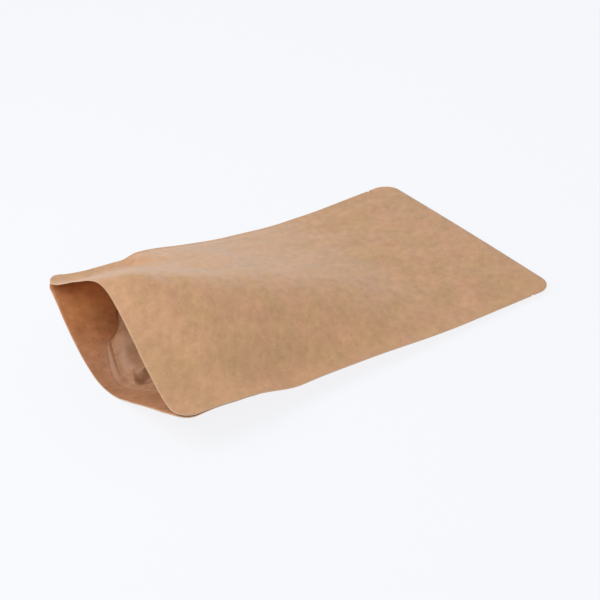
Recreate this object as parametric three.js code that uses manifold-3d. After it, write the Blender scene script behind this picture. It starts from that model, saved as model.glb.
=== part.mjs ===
// A flat brown-paper stand-up pouch, empty, lying on its back with its bottom gusset pulled open.
// Millimetres. +X runs from the open bottom end to the closed top end, +Y to the far side, +Z up.
// The underside rests on z = 0 and the origin is under the middle of the pouch.
import * as THREE from "three";
import { mergeVertices } from "three/addons/utils/BufferGeometryUtils.js";
import Module from "manifold-3d";

// ---- Driving dimensions ----

const WIDTH = 130; // flat width, over both side seals
const LENGTH = 210; // flat length, from the bottom edge to the top edge
const SIDE_SEAL = 7; // flat band along each side where front and back are sealed together
const CORNER_RADIUS = 9; // the four corners of the flat pouch
const GUSSET_DEPTH = 40; // the gusset is a strip of twice this, folded once
const GUSSET_SEAL = 7; // least depth of the curved seal between the gusset and each panel
const GUSSET_CURVE = 1.7; // how fast that seal deepens towards the sides
const SHALLOWEST_FOLD = 0.3; // least depth of the open fold, as a share of the free strip
const WALL = 0.8; // panel thickness
const FILM = 0.6; // gusset thickness
const GAP = 0.3; // space between the gusset and the panels
const NOTCH_FROM_TOP = 13.5; // tear notches in the side seals
const NOTCH_DEPTH = 1.6;
const NOTCH_WIDTH = 1.8; // at the pouch's edge
const NOTCH_CUT = 6; // height of the wedge that cuts a notch
const FOOT_SINK = 0.25; // how much of the rounded back is pressed flat where it rests
const SKEW = { far: -1.4, near: 2.6 }; // how far each bottom corner slides along X

// The pouch's cross-sections, at distances from the bottom edge. A panel's bow is a rounded
// corner over the straight line between the side seals: its height, its place from the far
// seal (0) to the near one (1), and how crisp it is (0 is flat, 10 is almost a crease).
const SECTIONS_AT = [0, 30, 65, 110, 160, LENGTH];
const SECTIONS = {
  farHeight: [32, 27, 20.5, 8, 2, 2.2], // of the far side seal over the floor
  nearHeight: [18, 17, 9.5, 6.5, 3.2, 2.2], // of the near side seal over the floor
  lean: [-2, -3, -0.5, 1.5, 1.3, 0], // sideways place of the middle between the seals
  frontHeight: [27.5, 32, 29, 17, 3, 0.6],
  frontPlace: [0.38, 0.41, 0.62, 0.64, 0.53, 0.54],
  frontCrisp: [6.5, 3.4, 2.4, 2.3, 1.6, 2.2],
  backPlace: [0.45, 0.45, 0.5, 0.5, 0.5, 0.5],
  backCrisp: [4.2, 3.4, 2.6, 2.4, 2.1, 1.9],
  lift: [0, 0, 0, 0, 0.3, 1.4], // of the back panel's lowest point over the floor
};

// ---- How finely the surfaces are divided ----

const ROWS = 38; // along the pouch
const MIDDLE_COLUMNS = 24; // across it, between the corners
const CORNER_COLUMNS = 5; // round each corner
const POCKET_COLUMNS = 28; // across the gusset
const CURVE_STEPS = 48; // along one panel of a cross-section
const FOLD_STEPS = 12; // across the free web of the gusset
const SEALED_STEPS = 3; // along the sealed part of the gusset
const MOUTH_OVERHANG = 5; // how far the cutting body stands out of the mouth
const WELD = 1e-4; // points nearer than this are one point

// ---- Small helpers ----

const range = (count) => Array.from({ length: count }, (_, i) => i);
const mix = (a, b, t) => a + (b - a) * t;
const mixPoint = (a, b, t) => a.map((value, i) => mix(value, b[i], t));

// The value where a rising function reaches zero, by halving.
function findRoot(rising, low, high) {
  for (let step = 0; step < 30; step += 1) {
    const middle = (low + high) / 2;
    if (rising(middle) > 0) high = middle;
    else low = middle;
  }
  return (low + high) / 2;
}

// A smooth curve through a few values that never overshoots them.
function smoothThrough(places, values) {
  const steps = places.slice(1).map((place, i) => place - places[i]);
  const slopes = steps.map((step, i) => (values[i + 1] - values[i]) / step);
  const inner = slopes.slice(1).map((after, i) => {
    const before = slopes[i];
    if (before * after <= 0) return 0;
    const wide = 2 * steps[i + 1] + steps[i];
    const narrow = steps[i + 1] + 2 * steps[i];
    return (wide + narrow) / (wide / before + narrow / after);
  });
  const tangents = [slopes[0], ...inner, slopes[slopes.length - 1]];
  return (place) => {
    let i = 0;
    while (i < steps.length - 1 && place > places[i + 1]) i += 1;
    const t = (place - places[i]) / steps[i];
    const startShare = (1 + 2 * t) * (1 - t) ** 2;
    const endShare = (3 - 2 * t) * t ** 2;
    const bend = t * (1 - t) * steps[i] * ((1 - t) * tangents[i] - t * tangents[i + 1]);
    return startShare * values[i] + endShare * values[i + 1] + bend;
  };
}

const profile = Object.fromEntries(
  Object.entries(SECTIONS).map(([name, values]) => [name, smoothThrough(SECTIONS_AT, values)]),
);

// ---- One cross-section ----

// A panel bowed over its chord, as [along, height] from the inner edge of the far seal.
function bow(chord, height, place, crisp) {
  const start = SIDE_SEAL;
  const end = chord - SIDE_SEAL;
  const corner = mix(start, end, place);
  return range(CURVE_STEPS + 1).map((i) => {
    const t = i / CURVE_STEPS;
    const pull = 2 * crisp * t * (1 - t);
    const total = (1 - t) ** 2 + pull + t ** 2;
    const along = ((1 - t) ** 2 * start + pull * corner + t ** 2 * end) / total;
    return [along, (pull * height) / total];
  });
}

function lengthOf(points) {
  const steps = points.slice(1).map(([a, b], i) => Math.hypot(a - points[i][0], b - points[i][1]));
  return steps.reduce((sum, step) => sum + step, 0);
}

// The pouch cut across at u millimetres from its bottom edge. The front panel keeps its flat
// width, so the seals draw together as it bows up, and the back panel bows down to the floor.
function crossSection(u) {
  const frontBow = (chord) =>
    bow(chord, profile.frontHeight(u), profile.frontPlace(u), profile.frontCrisp(u));
  const chord = findRoot(
    (width) => lengthOf(frontBow(width)) - (WIDTH - 2 * SIDE_SEAL),
    WIDTH / 2,
    WIDTH,
  );
  const drop = profile.farHeight(u) - profile.nearHeight(u);
  const reach = Math.sqrt(chord ** 2 - drop ** 2);
  const far = [profile.lean(u) + reach / 2, profile.farHeight(u)];
  const across = [-reach / chord, -drop / chord];
  const up = [-drop / chord, reach / chord];
  const place = ([along, height]) => [
    far[0] + along * across[0] + height * up[0],
    far[1] + along * across[1] + height * up[1],
  ];
  const backBow = (height) =>
    bow(chord, height, profile.backPlace(u), profile.backCrisp(u)).map(([along, h]) =>
      place([along, -h]),
    );
  const depth = findRoot(
    (height) => profile.lift(u) - Math.min(...backBow(height).map((point) => point[1])),
    0,
    WIDTH,
  );
  return {
    far,
    near: place([chord, 0]),
    middle: place([chord / 2, 0]),
    front: frontBow(chord).map(place),
    back: backBow(depth),
  };
}

// A panel's points and outward directions at equal steps of the flat sheet, v from the far edge.
function sheetCurve(section, side) {
  const points = [section.far, ...section[side], section.near];
  const lengths = [0];
  for (let i = 1; i < points.length; i += 1) {
    const [y, z] = points[i];
    lengths.push(lengths[i - 1] + Math.hypot(y - points[i - 1][0], z - points[i - 1][1]));
  }
  const stretch = lengths[lengths.length - 1] / WIDTH;
  const sign = side === "front" ? 1 : -1;
  return (v) => {
    let i = 0;
    while (i < lengths.length - 2 && v * stretch > lengths[i + 1]) i += 1;
    const t = (v * stretch - lengths[i]) / (lengths[i + 1] - lengths[i]);
    const point = mixPoint(points[i], points[i + 1], t);
    const step = [points[i + 1][0] - points[i][0], points[i + 1][1] - points[i][1]];
    const size = Math.hypot(...step);
    return { point, out: [(step[1] / size) * sign, (-step[0] / size) * sign] };
  };
}

// ---- The two sheets in space ----

const GRID_STEP = LENGTH / ROWS;
const sections = range(ROWS + 1).map((row) => crossSection(row * GRID_STEP));
const curves = {
  front: sections.map((section) => sheetCurve(section, "front")),
  back: sections.map((section) => sheetCurve(section, "back")),
};

// Paper bends but doesn't stretch, so where a panel rises or moves sideways its rows draw
// together along X. The rows are placed one by one from the top edge.
function rowPlaces(side, v) {
  const places = [LENGTH];
  for (let row = ROWS - 1; row >= 0; row -= 1) {
    const [y, z] = curves[side][row](v).point;
    const [nextY, nextZ] = curves[side][row + 1](v).point;
    const run = Math.sqrt(GRID_STEP ** 2 - (nextY - y) ** 2 - (nextZ - z) ** 2);
    places.unshift(places[0] - run);
  }
  const slide = mix(SKEW.far, SKEW.near, v / WIDTH);
  return places.map((x, row) => x + slide * (1 - row / ROWS) ** 2);
}

// A point of a panel: u from the bottom edge and v from the far edge, both on the flat sheet.
function panelPoint(side, xs, u, v, offset) {
  const row = Math.min(Math.floor(u / GRID_STEP), ROWS - 1);
  const t = u / GRID_STEP - row;
  const here = curves[side][row](v);
  const next = curves[side][row + 1](v);
  const [y, z] = mixPoint(here.point, next.point, t);
  const [outY, outZ] = mixPoint(here.out, next.out, t);
  const x = mix(xs[row], xs[row + 1], t);
  return [x, y + outY * offset, z + outZ * offset];
}

// ---- Closed meshes ----

// A surface through rows of points. Rows have equal counts, and a flipped one faces the other way.
function gridTriangles(rows, flipped = false) {
  const triangles = [];
  for (let j = 0; j < rows.length - 1; j += 1) {
    for (let i = 0; i < rows[j].length - 1; i += 1) {
      const [a, b] = [rows[j][i], rows[j][i + 1]];
      const [c, d] = [rows[j + 1][i + 1], rows[j + 1][i]];
      triangles.push(flipped ? [a, c, b] : [a, b, c], flipped ? [a, d, c] : [a, c, d]);
    }
  }
  return triangles;
}

const wasm = await Module();
wasm.setup();

// Triangles to a solid: equal corners are merged, and triangles that have shrunk to a line go.
function solidFrom(triangles) {
  const soup = new THREE.BufferGeometry();
  soup.setAttribute("position", new THREE.Float32BufferAttribute(triangles.flat(2), 3));
  return solidOf(soup);
}

function solidOf(geometry) {
  const merged = mergeVertices(geometry, WELD);
  const corners = merged.index.array;
  const kept = [];
  for (let i = 0; i < corners.length; i += 3) {
    const [a, b, c] = [corners[i], corners[i + 1], corners[i + 2]];
    if (a !== b && b !== c && c !== a) kept.push(a, b, c);
  }
  return new wasm.Manifold(
    new wasm.Mesh({
      numProp: 3,
      vertProperties: merged.attributes.position.array,
      triVerts: new Uint32Array(kept),
    }),
  );
}

function geometryFrom(solid) {
  const mesh = solid.getMesh();
  const geometry = new THREE.BufferGeometry();
  geometry.setAttribute("position", new THREE.BufferAttribute(mesh.vertProperties, 3));
  geometry.setIndex(new THREE.BufferAttribute(mesh.triVerts, 1));
  geometry.computeVertexNormals();
  return geometry;
}

// ---- The pouch, filled, before its pocket is cut ----

// How far a rounded corner cuts into the sheet's end at v.
function cornerCut(v) {
  const inside = Math.max(CORNER_RADIUS - Math.min(v, WIDTH - v), 0);
  return CORNER_RADIUS - Math.sqrt(CORNER_RADIUS ** 2 - inside ** 2);
}

// Columns lie closer together in the rounded corners.
const cornerPlaces = range(CORNER_COLUMNS).map(
  (i) => CORNER_RADIUS * (1 - Math.cos(((i / CORNER_COLUMNS) * Math.PI) / 2)),
);
const middlePlaces = range(MIDDLE_COLUMNS + 1).map((i) =>
  mix(CORNER_RADIUS, WIDTH - CORNER_RADIUS, i / MIDDLE_COLUMNS),
);
const columnPlaces = [
  ...cornerPlaces,
  ...middlePlaces,
  ...cornerPlaces.map((v) => WIDTH - v).reverse(),
];

function panelRows(side) {
  const columns = columnPlaces.map((v) => {
    const xs = rowPlaces(side, v);
    const cut = cornerCut(v);
    return range(ROWS + 1).map((row) => {
      const u = mix(cut, LENGTH - cut, row / ROWS);
      const [x, y, z] = panelPoint(side, xs, u, v, WALL / 2);
      return [x, y, Math.max(z + WALL / 2 - FOOT_SINK, 0)];
    });
  });
  return range(ROWS + 1).map((row) => columns.map((column) => column[row]));
}

function pouchOutside() {
  const front = panelRows("front");
  const back = panelRows("back");
  const last = columnPlaces.length - 1;
  const edge = (column) => front.map((row, j) => [row[column], back[j][column]]);
  return solidFrom([
    ...gridTriangles(front),
    ...gridTriangles(back, true),
    ...gridTriangles(edge(0), true),
    ...gridTriangles(edge(last)),
    ...gridTriangles([front[0], back[0]], true),
    ...gridTriangles([front[ROWS], back[ROWS]]),
  ]);
}

// ---- The pocket that the open gusset leaves at the bottom end ----

// The curved seal between the gusset and a panel: shallow in the middle, deep at the sides.
function sealDepth(v) {
  const side = Math.abs(v - WIDTH / 2) / (WIDTH / 2 - SIDE_SEAL);
  return mix(GUSSET_SEAL, GUSSET_DEPTH, Math.min(side, 1) ** GUSSET_CURVE);
}

// A point just inside a panel: the cross-section shrunk towards its middle by an inset.
function insidePoint(side, xs, u, v, inset) {
  const row = Math.min(Math.floor(u / GRID_STEP), ROWS - 1);
  const t = u / GRID_STEP - row;
  const middle = mixPoint(sections[row].middle, sections[row + 1].middle, t);
  const [x, y, z] = panelPoint(side, xs, u, v, 0);
  const rim = ["front", "back"].flatMap((panel) => sections[row][panel]);
  const clear = Math.min(...rim.map((point) => Math.hypot(point[0] - middle[0], point[1] - middle[1])));
  const share = inset / clear;
  return [x, mix(y, middle[0], share), mix(z, middle[1], share) + WALL / 2 - FOOT_SINK];
}

// One line of the gusset from the front lip, along the panel to its seal, inwards to the fold
// and back out to the back lip. Its free half is as long as the sheet left over from the seal.
function gussetLine(v, inset, deeper) {
  const xs = { front: rowPlaces("front", v), back: rowPlaces("back", v) };
  const inside = (side, u) => insidePoint(side, xs[side], u, v, inset);
  const seal = sealDepth(v);
  const sealed = (side) => range(SEALED_STEPS).map((i) => inside(side, (seal * i) / SEALED_STEPS));
  const frontSeal = inside("front", seal);
  const backSeal = inside("back", seal);
  const half = new THREE.Vector3(...frontSeal).distanceTo(new THREE.Vector3(...backSeal)) / 2;
  const free = GUSSET_DEPTH - seal;
  const fold = Math.sqrt(Math.max(free ** 2 - half ** 2, (SHALLOWEST_FOLD * free) ** 2));
  const web = range(FOLD_STEPS + 1).map((i) => {
    const t = i / FOLD_STEPS;
    const u = seal + Math.sin(Math.PI * t) * (fold + deeper);
    return mixPoint(inside("front", u), inside("back", u), t);
  });
  return [...sealed("front"), ...web, ...sealed("back").reverse()];
}

// In the side seals the gusset's two halves lie on each other, so their points are shared.
function closeAtSeal(line, sealedShut) {
  const last = line.length - 1;
  return sealedShut ? line.map((point, i) => mixPoint(point, line[last - i], 0.5)) : line;
}

// The pocket as a solid, shrunk by an inset and running out past the mouth by an overhang.
function pocket(inset, deeper, overhang) {
  const lines = range(POCKET_COLUMNS + 1).map((i) => {
    const crowded = (1 - Math.cos((Math.PI * i) / POCKET_COLUMNS)) / 2;
    const v = mix(SIDE_SEAL, WIDTH - SIDE_SEAL, crowded);
    const sealedShut = i === 0 || i === POCKET_COLUMNS;
    const line = closeAtSeal(gussetLine(v, inset, deeper), sealedShut);
    const outside = ([x, y, z]) => [x - overhang, y, z];
    return overhang > 0 ? [outside(line[0]), ...line, outside(line[line.length - 1])] : line;
  });
  const mouth = lines.map((line) => [line[0], line[line.length - 1]]);
  return solidFrom([...gridTriangles(lines, true), ...gridTriangles(mouth)]);
}

// ---- Tear notches ----

function notchCutter(v) {
  const u = LENGTH - NOTCH_FROM_TOP;
  const [x, y, z] = panelPoint("front", rowPlaces("front", v), u, v, 0);
  const inwards = v < WIDTH / 2 ? -NOTCH_DEPTH : NOTCH_DEPTH;
  const outline = new THREE.Shape([
    new THREE.Vector2(-NOTCH_WIDTH, -inwards),
    new THREE.Vector2(NOTCH_WIDTH, -inwards),
    new THREE.Vector2(0, inwards),
  ]);
  const prism = new THREE.ExtrudeGeometry(outline, { depth: NOTCH_CUT, bevelEnabled: false });
  prism.translate(x, y, z - NOTCH_CUT / 2);
  prism.deleteAttribute("normal");
  prism.deleteAttribute("uv");
  return solidOf(prism);
}

// ---- The two pieces ----

const panelInset = WALL / 2;
const filmOutside = panelInset + GAP;
const filmInside = filmOutside + FILM;

const body = pouchOutside()
  .subtract(pocket(panelInset, 2 * (GAP + FILM), MOUTH_OVERHANG))
  .subtract(notchCutter(0))
  .subtract(notchCutter(WIDTH));
const gusset = pocket(filmOutside, 2 * FILM, 0).subtract(pocket(filmInside, 0, MOUTH_OVERHANG));

const brownPaper = new THREE.MeshStandardMaterial({
  name: "brown_paper",
  color: 0xc49b74,
  roughness: 0.8,
  metalness: 0,
});
const gussetPaper = new THREE.MeshStandardMaterial({
  name: "gusset_paper",
  color: 0xa8714c,
  roughness: 0.7,
  metalness: 0,
});

const pouchBody = new THREE.Mesh(geometryFrom(body), brownPaper);
pouchBody.name = "pouch_body";
const bottomGusset = new THREE.Mesh(geometryFrom(gusset), gussetPaper);
bottomGusset.name = "bottom_gusset";

const pouch = new THREE.Group();
pouch.name = "stand_up_pouch";
pouch.add(pouchBody, bottomGusset);

const bounds = new THREE.Box3().setFromObject(pouch);
pouch.position.set(-(bounds.min.x + bounds.max.x) / 2, -(bounds.min.y + bounds.max.y) / 2, 0);

export default pouch;
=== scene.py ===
# %% [markdown]
# # A brown-paper stand-up pouch
#
# The pouch is empty and lies on its back. Its bottom end is pulled open, so we look into the
# folded gusset there, and its top end is flat and shut. In this lesson we bend flat sheets of
# paper into that shape with a little geometry, and then give them a finish that reads as
# strong brown paper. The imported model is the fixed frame: its box tells us where to build.

import math

import bpy
import numpy as np
from mathutils import Matrix, Vector


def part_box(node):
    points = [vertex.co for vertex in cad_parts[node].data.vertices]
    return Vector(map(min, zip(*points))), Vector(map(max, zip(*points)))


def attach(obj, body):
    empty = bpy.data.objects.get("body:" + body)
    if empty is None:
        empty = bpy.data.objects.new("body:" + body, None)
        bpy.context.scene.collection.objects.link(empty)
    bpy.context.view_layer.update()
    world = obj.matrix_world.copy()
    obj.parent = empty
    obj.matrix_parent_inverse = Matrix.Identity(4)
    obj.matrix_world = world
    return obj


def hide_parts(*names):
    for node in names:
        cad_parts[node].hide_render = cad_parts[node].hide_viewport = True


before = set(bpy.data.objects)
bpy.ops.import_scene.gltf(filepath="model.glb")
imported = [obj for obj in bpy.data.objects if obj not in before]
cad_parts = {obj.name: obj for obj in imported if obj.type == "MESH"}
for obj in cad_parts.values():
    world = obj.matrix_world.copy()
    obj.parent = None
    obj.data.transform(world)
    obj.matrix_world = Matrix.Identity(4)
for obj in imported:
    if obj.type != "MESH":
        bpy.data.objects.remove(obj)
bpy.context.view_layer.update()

# %% [markdown]
# ## The flat pouch
#
# A pouch maker thinks of the pouch as flat sheets: two panels, sealed together along the
# sides and the top, and one strip folded once between them at the bottom, the gusset. Every
# place on the paper has two coordinates that never change when the paper bends: u, counted
# from the bottom edge, and v, counted from the far side edge. We keep both in millimetres
# and turn to Blender's metres only when a mesh is made.

# %% Sizes of the flat pouch
MM = 0.001
WIDTH = 130.0
LENGTH = 210.0
SIDE_SEAL = 7.0
CORNER_RADIUS = 9.0
PAPER = 0.25  # thickness of one ply
GUSSET_DEPTH = 40.0  # the strip is twice this deep and folded once
print(f"flat pouch {WIDTH:.0f} x {LENGTH:.0f} mm, gusset strip {2 * GUSSET_DEPTH:.0f} mm deep")

# %% [markdown]
# ## Numbers that change smoothly along the pouch
#
# The pouch is open at one end and flat at the other, so its cross-section changes all the
# way along. We write each property, such as the height of the far seal, at six places and
# draw a smooth curve through them. A monotone cubic never overshoots, so a falling height
# keeps falling and the paper gets no waves that we didn't ask for.

# %% A smooth curve through a few values
def smooth_through(places, values):
    places = np.asarray(places, float)
    values = np.asarray(values, float)
    steps = np.diff(places)
    slopes = np.diff(values) / steps
    tangents = np.concatenate([slopes[:1], np.zeros(len(slopes) - 1), slopes[-1:]])
    for i in range(1, len(slopes)):
        before, after = slopes[i - 1], slopes[i]
        if before * after > 0:
            wide = 2 * steps[i] + steps[i - 1]
            narrow = steps[i] + 2 * steps[i - 1]
            tangents[i] = (wide + narrow) / (wide / before + narrow / after)

    def curve(place):
        i = np.clip(np.searchsorted(places, place) - 1, 0, len(steps) - 1)
        t = (place - places[i]) / steps[i]
        bend = t * (1 - t) * steps[i] * ((1 - t) * tangents[i] - t * tangents[i + 1])
        return (1 + 2 * t) * (1 - t) ** 2 * values[i] + (3 - 2 * t) * t**2 * values[i + 1] + bend

    return curve


print("halfway up a smooth step:", smooth_through([0, 1, 2], [0, 0, 1])(1.5))

# %% [markdown]
# ## The pouch's profile
#
# Heights are above the floor, in millimetres. "far" and "near" are the two side seals, and
# "lean" is how far the section's middle has moved sideways. A bow's "place" is where across
# the panel it turns, from 0 at the far seal to 1 at the near one, and "crisp" is how sharply
# it turns. "lift" is how far the back panel stays off the floor.

# %% Profile
SECTIONS_AT = [0, 30, 65, 110, 160, LENGTH]
PROFILE = {
    "far height": [32, 27, 20.5, 8, 2, 2.2],
    "near height": [18, 17, 9.5, 6.5, 3.2, 2.2],
    "lean": [-2, -3, -0.5, 1.5, 1.3, 0],
    "front height": [25.7, 32, 29, 17, 3, 0.6],
    "front place": [0.352, 0.46, 0.62, 0.64, 0.53, 0.54],
    "front crisp": [15.0, 2.9, 2.3, 2.3, 1.6, 2.2],
    "back place": [0.45, 0.45, 0.5, 0.5, 0.5, 0.5],
    "back crisp": [4.2, 3.4, 2.6, 2.4, 2.1, 1.9],
    "lift": [0, 0, 0, 0, 0.3, 1.4],
}
profile = {name: smooth_through(SECTIONS_AT, values) for name, values in PROFILE.items()}
far_heights = [round(float(profile["far height"](u)), 1) for u in (0, LENGTH / 2, LENGTH)]
print("far seal height at the open end, the middle and the top:", far_heights)

# %% [markdown]
# ## A bow
#
# Seen along the pouch, each panel is a bow over the straight line between the two side
# seals. Creased paper doesn't bend in an even arc: it is nearly straight on both sides of one
# rounded turn. A rational curve with one control point draws just that. The point pulls the
# curve towards itself, and the higher its weight, the crisper the turn.

# %% Draw a bow
BOW_STEPS = 300


def bow(chord, height, place, crisp):
    t = np.linspace(0, 1, BOW_STEPS + 1)
    start, end = SIDE_SEAL, chord - SIDE_SEAL
    corner = start + (end - start) * place
    pull = 2 * crisp * t * (1 - t)
    total = (1 - t) ** 2 + pull + t**2
    along = ((1 - t) ** 2 * start + pull * corner + t**2 * end) / total
    return np.stack([along, pull * height / total], axis=1)


def length_of(points):
    return float(np.linalg.norm(np.diff(points, axis=0), axis=1).sum())


print("a bow 20 mm high is", round(length_of(bow(110, 20, 0.5, 3)), 1), "mm long")

# %% [markdown]
# ## One cross-section
#
# The front panel keeps its flat width, so the more it bows, the nearer the seals come
# together. We can't write that distance down, but we can tell whether a guess is too wide, so
# we find it by halving. The depth that brings the back panel down to the floor is found in
# the same way.

# %% Seals and bows of one section
HALVINGS = 30


def find_root(rising, low, high):
    for _ in range(HALVINGS):
        middle = (low + high) / 2
        if rising(middle) > 0:
            high = middle
        else:
            low = middle
    return (low + high) / 2


def cross_section(u):
    at = {name: float(curve(np.float64(u))) for name, curve in profile.items()}
    bowed_width = WIDTH - 2 * SIDE_SEAL

    def front_bow(chord):
        return bow(chord, at["front height"], at["front place"], at["front crisp"])

    chord = find_root(lambda guess: length_of(front_bow(guess)) - bowed_width, WIDTH / 2, WIDTH)
    drop = at["far height"] - at["near height"]
    reach = math.sqrt(chord**2 - drop**2)
    far = np.array([at["lean"] + reach / 2, at["far height"]])
    across = np.array([-reach, -drop]) / chord
    up = np.array([-drop, reach]) / chord

    def placed(points):
        return far + points[:, :1] * across + points[:, 1:] * up

    def back_bow(depth):
        return placed(bow(chord, depth, at["back place"], at["back crisp"]) * [1, -1])

    depth = find_root(lambda guess: at["lift"] - back_bow(guess)[:, 1].min(), 0, WIDTH)
    near = far + chord * across
    front = np.vstack([far, placed(front_bow(chord)), near])
    return {"front": front, "back": np.vstack([far, back_bow(depth), near])}


print("points across one section:", len(cross_section(0)["front"]))

# %% [markdown]
# ## From cross-sections to a bent sheet
#
# Paper bends but doesn't stretch. So where a panel rises or moves sideways from one row to
# the next, its rows draw together along the pouch. We place the rows one by one from the
# straight top edge, each a row's flat distance from the last. The sharp turn from seal to
# bow is softened a little by averaging neighbours, as stiff paper turns over a few
# millimetres. Handling has also skewed the open end: the far side has slid one way and the
# near side the other.

# %% Bend one sheet on a fine grid
ROW_STEP = 1.0
COLUMN_STEP = 0.5
TURN_PASSES = 30  # averaging passes over the turn from seal to bow
SKEW_FAR = -1.4
SKEW_NEAR = 2.6
grid_u = np.arange(0, LENGTH + ROW_STEP / 2, ROW_STEP)
grid_v = np.arange(0, WIDTH + COLUMN_STEP / 2, COLUMN_STEP)


def softened(rows, passes):
    """Each row's points, averaged with their neighbours across."""
    rows = rows.copy()
    for _ in range(passes):
        rows[:, 1:-1] = (rows[:, :-2] + 2 * rows[:, 1:-1] + rows[:, 2:]) / 4
    return rows


def bent_sheet(sections, side):
    rows = []
    for section in sections:
        points = section[side]
        steps = np.linalg.norm(np.diff(points, axis=0), axis=1)
        lengths = np.concatenate([[0], np.cumsum(steps)])
        places = grid_v * lengths[-1] / WIDTH
        rows.append(np.stack([np.interp(places, lengths, axis) for axis in points.T], axis=1))
    across = softened(np.array(rows), TURN_PASSES)
    climb = (np.diff(across, axis=0) ** 2).sum(axis=2)
    runs = np.sqrt(np.maximum(ROW_STEP**2 - climb, 0))
    from_top = np.vstack([np.cumsum(runs[::-1], axis=0)[::-1], np.zeros((1, len(grid_v)))])
    slide = SKEW_FAR + (SKEW_NEAR - SKEW_FAR) * grid_v / WIDTH
    x = LENGTH - from_top + np.outer((1 - grid_u / LENGTH) ** 2, slide)
    return np.concatenate([x[:, :, None], across], axis=2)


sections = [cross_section(u) for u in grid_u]
sheets = {side: bent_sheet(sections, side) for side in ("front", "back")}
print("each sheet has", len(grid_u), "rows of", len(grid_v), "points")

# %% [markdown]
# ## Into the frame
#
# The frame's origin is under the middle of the pouch. The straight top edge lies on the high
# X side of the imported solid's box, and the far seal on its high Y side, so both tell us how
# far to move. The whole pouch is also lifted a little, as its back is pressed flat where it
# lies and the bow alone would touch the floor along a line.

# %% Move the sheets
BED = 0.15
box_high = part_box("pouch_body")[1]
far_side = sheets["front"][:, 0, 1].max()
shift = np.array([box_high.x / MM - LENGTH, box_high.y / MM - far_side, BED])
sheets = {side: sheet + shift for side, sheet in sheets.items()}
print("sheets shifted by", shift.round(2), "mm into the frame")

# %% [markdown]
# ## Reading the sheet anywhere
#
# Pieces such as the rounded corners and the gusset need points between the grid's rows. A
# cubic step through the two neighbours on each side gives them without facets. We also need
# the direction that points out of the pouch, to give the paper its thickness.

# %% Cubic reading of a grid
def padded(grid):
    """The grid with one more row and column on each side, in line with the last two."""
    for axis in (0, 1):
        grid = np.moveaxis(grid, axis, 0)
        grid = np.concatenate([2 * grid[:1] - grid[1:2], grid, 2 * grid[-1:] - grid[-2:-1]])
        grid = np.moveaxis(grid, 0, axis)
    return grid


def cubic_shares(t):
    return [
        ((2 - t) * t - 1) * t / 2,
        ((3 * t - 5) * t * t + 2) / 2,
        ((4 - 3 * t) * t + 1) * t / 2,
        (t - 1) * t * t / 2,
    ]


def read_grid(grid, u, v):
    wide = padded(grid)
    fu = np.clip(np.asarray(u, float) / ROW_STEP, 0, len(grid_u) - 1)
    fv = np.clip(np.asarray(v, float) / COLUMN_STEP, 0, len(grid_v) - 1)
    iu = np.minimum(fu.astype(int), len(grid_u) - 2)
    iv = np.minimum(fv.astype(int), len(grid_v) - 2)
    result = 0
    for a, share_u in enumerate(cubic_shares(fu - iu)):
        for b, share_v in enumerate(cubic_shares(fv - iv)):
            result = result + (share_u * share_v)[..., None] * wide[iu + a, iv + b]
    return result


def outward(sheet, side):
    along = np.gradient(sheet, axis=0)
    across = np.gradient(sheet, axis=1)
    normal = np.cross(across, along)
    normal /= np.linalg.norm(normal, axis=2, keepdims=True)
    return normal if side == "front" else -normal


normals = {side: outward(sheet, side) for side, sheet in sheets.items()}
middle = (len(grid_u) // 2, len(grid_v) // 2)
print("front panel's middle faces", normals["front"][middle].round(2))

# %% [markdown]
# ## Ramps over the sheet
#
# What follows happens in one part of the sheet and fades out beyond it. A ramp that eases
# in and out at both ends does the fading, so that no edge of it shows in the paper.

# %% Ramps
def ramp(value, low, high):
    t = np.clip((value - low) / (high - low), 0, 1)
    return t * t * (3 - 2 * t)


sheet_u = grid_u[:, None]
sheet_v = grid_v[None]
from_side = np.minimum(sheet_v, WIDTH - sheet_v)
far_half = sheet_v < WIDTH / 2
print("ramp from 0 to 1:", ramp(np.linspace(0, 1, 5), 0, 1).round(2))

# %% [markdown]
# ## Gaping corners, and room for the gusset
#
# At the bottom corners front and back are not bonded to each other, because the gusset lies
# between them, and they gape. And down each side, as far as the gusset reaches, its two plies
# keep the panels apart. Both are a matter of a millimetre, so we don't change the sections:
# we only move each sheet outwards where it has to make room.

# %% Make room
GAPES = [
    # sheet, corner, opening in mm, reach along u, full from and gone by in mm from the side
    ("front", "far", 1.2, 12, 0, 19),
    ("back", "far", 1.2, 26, 0, 19),
    ("front", "near", 0.6, 22, 0, 16),
    ("back", "near", 0.25, 22, 0, 16),
    ("back", "near", 0.7, 22, 14, 34),
]
PLY_ROOM_TO = 14.0
PLY_ROOM_ENDS = (-3.5, 0.5)  # from the gusset's end
past_gusset = ramp(sheet_u - GUSSET_DEPTH, *PLY_ROOM_ENDS)
ply_room = PAPER * (1 - past_gusset) * (1 - ramp(from_side, SIDE_SEAL, PLY_ROOM_TO))
opening = {side: ply_room for side in sheets}
for side, corner, gape, along, full_from, gone_by in GAPES:
    across = 1 - ramp(from_side, full_from, gone_by)
    if full_from > 0:
        across = across * ramp(from_side, 0, full_from)
    at_corner = far_half if corner == "far" else ~far_half
    opening[side] = opening[side] + gape * (1 - ramp(sheet_u, 0, along)) * across * at_corner
sheets = {side: sheets[side] + normals[side] * opening[side][:, :, None] for side in sheets}
corner_gap = np.linalg.norm((sheets["front"] - sheets["back"])[0, 0])
print("gap at the far corner", round(float(corner_gap), 2), "mm")

# %% [markdown]
# ## The crease and the bulge behind it
#
# Just past the gusset's end the side seal is only two plies thick. There the paper has
# creased, and behind the crease the far seal bulges up and its inner line rises more than
# its edge does. On the photo this is the bright, turned-up stretch of the far side. Low waves
# in both seals come from handling. All of it is height that is added to the sheets, because
# the sections are too far apart to hold so short a turn.

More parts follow.
